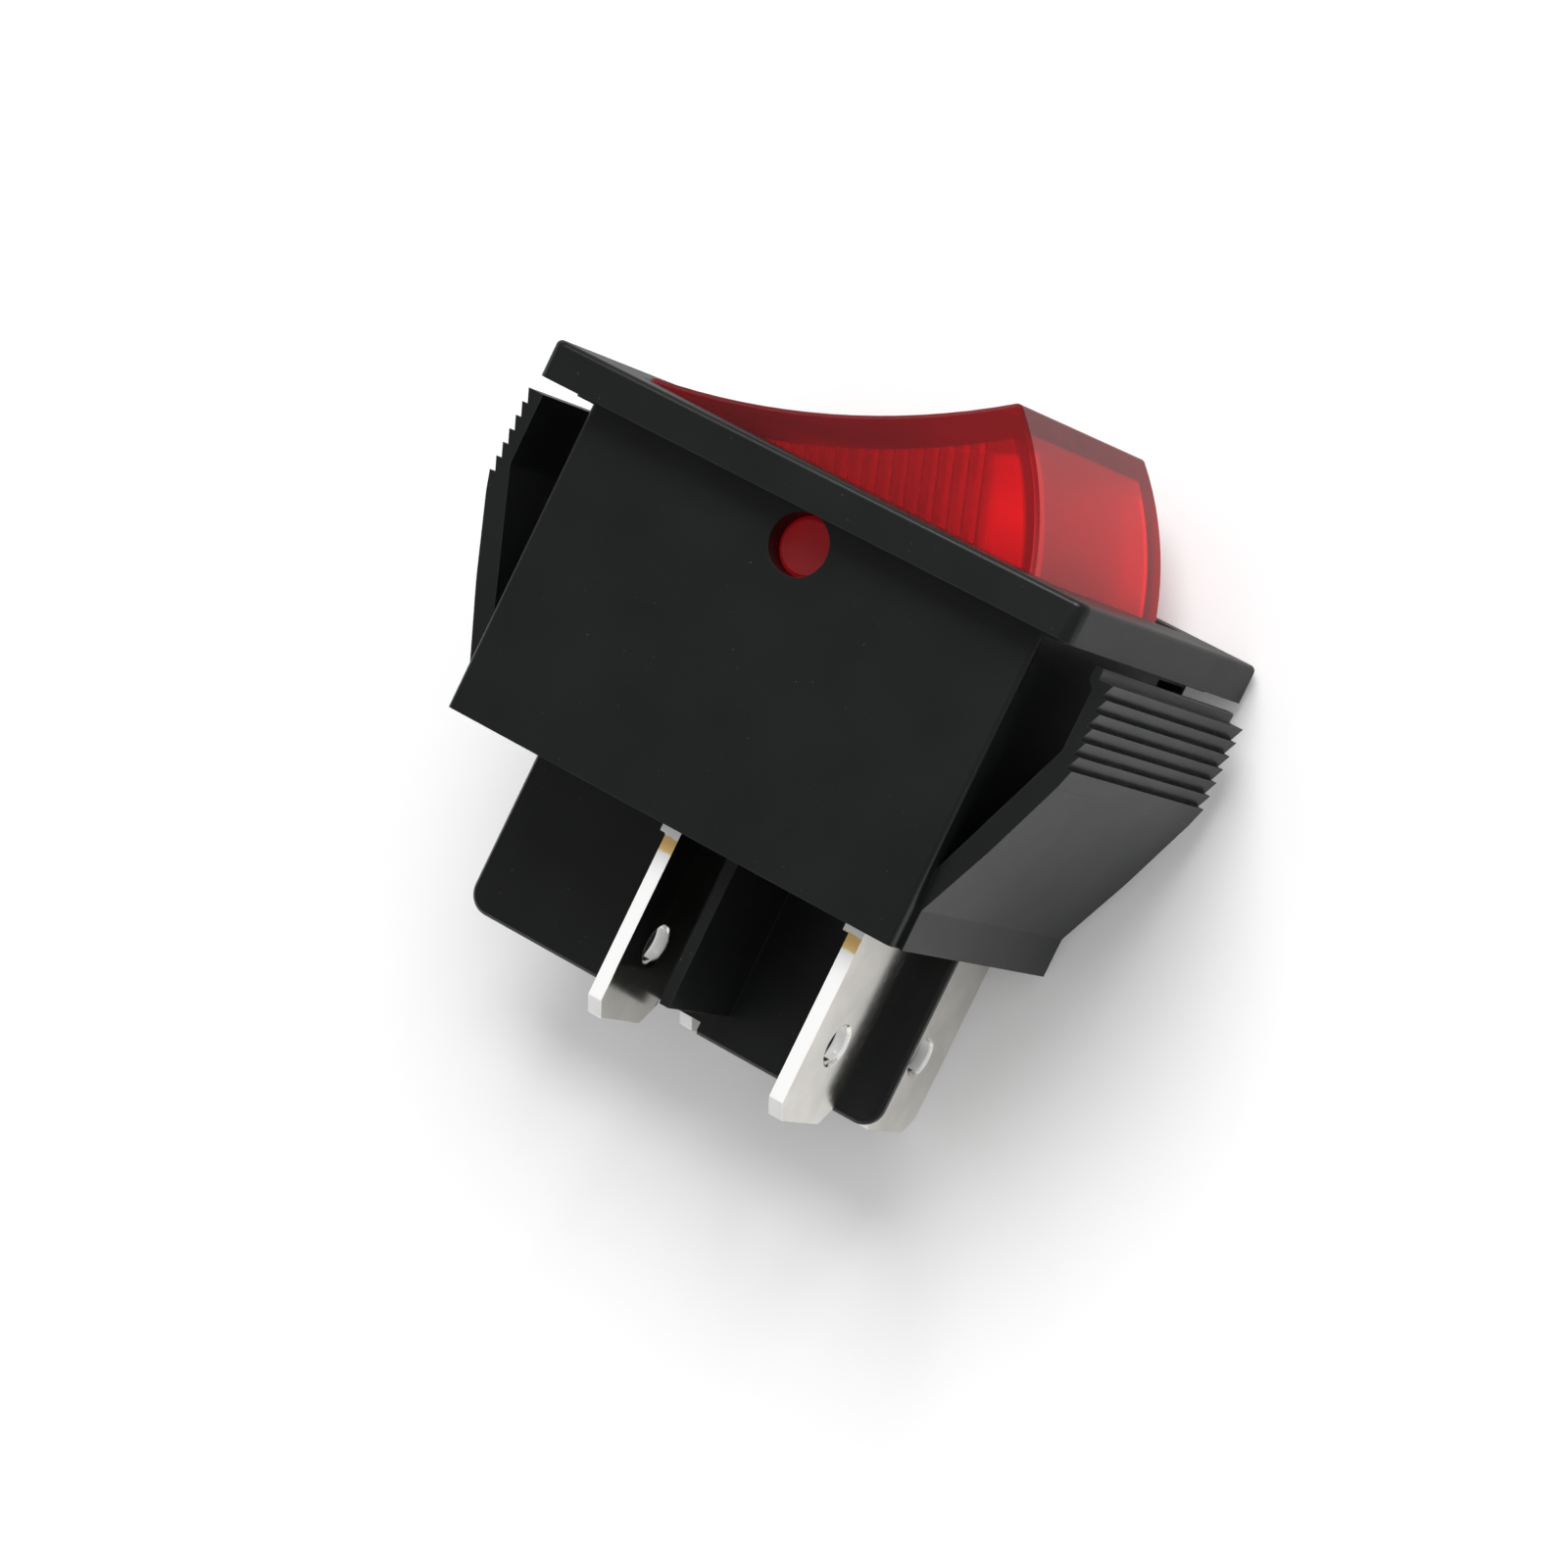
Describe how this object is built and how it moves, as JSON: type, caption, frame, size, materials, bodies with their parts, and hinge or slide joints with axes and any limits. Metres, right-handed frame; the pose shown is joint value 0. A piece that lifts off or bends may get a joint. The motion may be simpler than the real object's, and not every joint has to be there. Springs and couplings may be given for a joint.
{
  "type": "panel rocker switch",
  "caption": "Rectangular snap-in panel rocker switch with a lit translucent rocker, barbed snap arms at both ends and flat blade terminals below.",
  "frame": {"origin": "centre of the panel cut-out, in the plane of the bezel's underside", "axes": "+X along the long side towards the end of the rocker that stands up at rest, +Y across it towards the rear pole, +Z out of the panel through the rocker"},
  "size_m": [0.0344, 0.0254, 0.0357],
  "materials": {
    "black_plastic": "moulded, fine satin",
    "red_translucent": "clear red, moulded gloss",
    "plated_blade": "plated, satin",
    "brass_strip": "bare, stamped",
    "contact_silver": "satin",
    "spring_steel": "drawn wire",
    "lamp_glass": "clear",
    "lead_metal": "tinned wire",
    "resistor_body": "dipped coating"
  },
  "bodies": {
    "case": {"housing": "black_plastic", "base": "black_plastic", "common_terminal_front": "plated_blade", "common_terminal_rear": "plated_blade", "load_terminal_front": "plated_blade", "load_terminal_rear": "plated_blade", "fixed_contact_front": "contact_silver", "fixed_contact_rear": "contact_silver"},
    "rocker": {"rocker": "red_translucent", "neon_lamp": "lamp_glass", "lamp_electrodes": "lead_metal", "ballast_resistor": "resistor_body", "lamp_lead_front": "lead_metal", "lamp_lead_rear": "lead_metal", "plunger_spring_front": "spring_steel", "plunger_spring_rear": "spring_steel"},
    "plunger_front": {"plunger_front": "brass_strip"},
    "plunger_rear": {"plunger_rear": "brass_strip"},
    "arm_front": {"contact_arm_front": "brass_strip", "arm_contact_front": "contact_silver"},
    "arm_rear": {"contact_arm_rear": "brass_strip", "arm_contact_rear": "contact_silver"}
  },
  "joints": [
    {"name": "rocker_tilt", "type": "hinge", "parent": "case", "child": "rocker", "pos_m": [0, 0, -0.0017], "axis": [0, 1, 0], "range_deg": [0, 41]},
    {"name": "plunger_push_front", "type": "slide", "parent": "rocker", "child": "plunger_front", "axis": [-0.3502, 0, 0.9367], "range_m": [0, 0.001], "stiffness_N_per_m": 600, "springref_m": -0.002, "deforming": ["plunger_spring_front"]},
    {"name": "plunger_push_rear", "type": "slide", "parent": "rocker", "child": "plunger_rear", "axis": [-0.3502, 0, 0.9367], "range_m": [0, 0.001], "stiffness_N_per_m": 600, "springref_m": -0.002, "deforming": ["plunger_spring_rear"]},
    {"name": "contact_arm_swing_front", "type": "hinge", "parent": "case", "child": "arm_front", "pos_m": [-0.0002, 0, -0.01115], "axis": [0, 1, 0], "range_deg": [-12, 0]},
    {"name": "contact_arm_swing_rear", "type": "hinge", "parent": "case", "child": "arm_rear", "pos_m": [-0.0002, 0, -0.01115], "axis": [0, 1, 0], "range_deg": [-12, 0]}
  ],
  "couplings": [
    {"joint": "contact_arm_swing_front", "follows": "rocker_tilt", "ratio": -0.29268},
    {"joint": "contact_arm_swing_rear", "follows": "rocker_tilt", "ratio": -0.29268}
  ]
}
